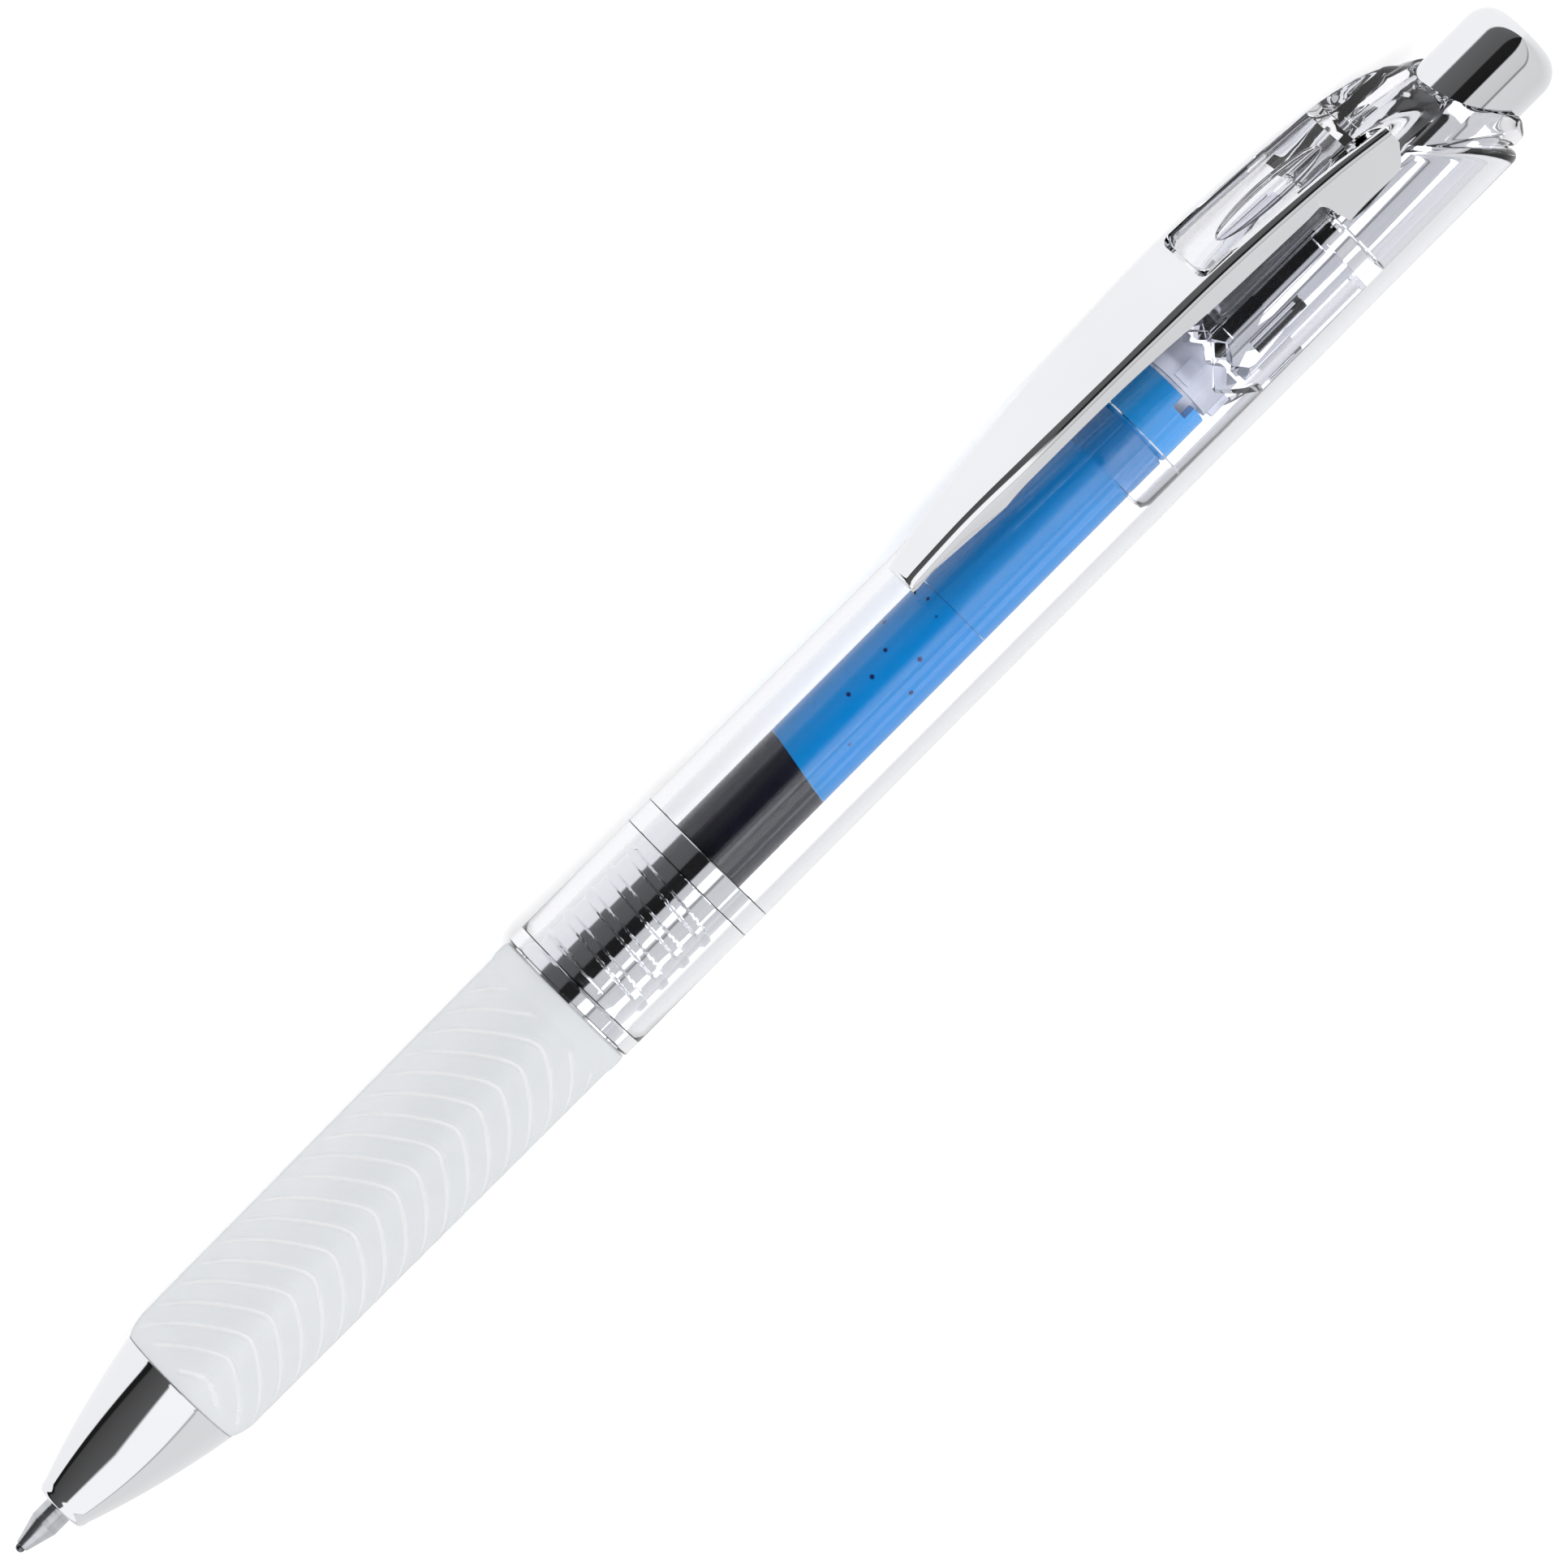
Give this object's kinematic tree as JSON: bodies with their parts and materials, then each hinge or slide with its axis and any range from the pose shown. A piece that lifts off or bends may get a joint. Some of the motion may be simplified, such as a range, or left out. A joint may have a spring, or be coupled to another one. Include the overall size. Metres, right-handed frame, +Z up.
{
  "type": "gel pen",
  "caption": "Retractable gel pen with a clear barrel, frosted rubber grip, metal nose cone, sprung pocket clip and push button; refill and click parts inside.",
  "frame": {"origin": "middle of the pen's length and width, on the surface that the pen lies on", "axes": "+X along the pen from the writing ball to the push button, +Z up from the surface that the barrel and one edge of the clip rest on, +Y to the clip's side"},
  "size_m": [0.143, 0.0142, 0.011],
  "materials": {
    "carbide": "polished hard metal",
    "nib_steel": "turned, fine lathe marks",
    "spring_steel": "bright drawn wire",
    "white_plastic": "moulded, slightly see-through",
    "bright_chrome": "mirror plated",
    "grip_rubber": "frosted, soft, see-through at its edges",
    "clear_shell": "clear, polished",
    "refill_blue": "extruded tube, satin gloss",
    "ink_gel": "wet gel",
    "follower_grease": "clear tinted grease",
    "float_plastic": "moulded",
    "tail_blue": "moulded",
    "frosted_lilac": "frosted, see-through",
    "clip_chrome": "pressed sheet, mirror plated"
  },
  "bodies": {
    "shell": {"tip_cone": "bright_chrome", "grip_core": "bright_chrome", "grip": "grip_rubber", "barrel": "clear_shell", "guide_sleeve": "clear_shell", "clip_holder": "clear_shell", "return_spring": "spring_steel"},
    "button": {"push_button": "bright_chrome", "plunger": "bright_chrome"},
    "refill": {"refill_tube": "refill_blue", "ink": "ink_gel", "ink_follower": "follower_grease", "follower_float": "float_plastic", "tail_plug": "tail_blue", "nib_holder": "white_plastic", "nib": "nib_steel", "ball_spring": "spring_steel", "writing_ball": "carbide"},
    "rotor": {"cam_rotor": "frosted_lilac"},
    "clip": {"clip": "clip_chrome"}
  },
  "joints": [
    {"name": "button_slide", "type": "slide", "parent": "shell", "child": "button", "axis": [1, 0, 0], "range_m": [-0.0012, 0.0052]},
    {"name": "refill_slide", "type": "slide", "parent": "shell", "child": "refill", "axis": [1, 0, 0], "range_m": [-0.0012, 0.0052], "deforming": ["return_spring"]},
    {"name": "rotor_turn", "type": "hinge", "parent": "refill", "child": "rotor", "pos_m": [0.03955, -0.00159, 0.00549], "axis": [1, 0, 0], "continuous": true},
    {"name": "clip_flex", "type": "hinge", "parent": "shell", "child": "clip", "pos_m": [0.05715, 0.00278, 0.00407], "axis": [0, -0.3098, -0.9508], "range_deg": [0, 4], "stiffness_Nm_per_rad": 0.3}
  ],
  "couplings": [
    {"joint": "refill_slide", "follows": "button_slide", "ratio": 1}
  ]
}
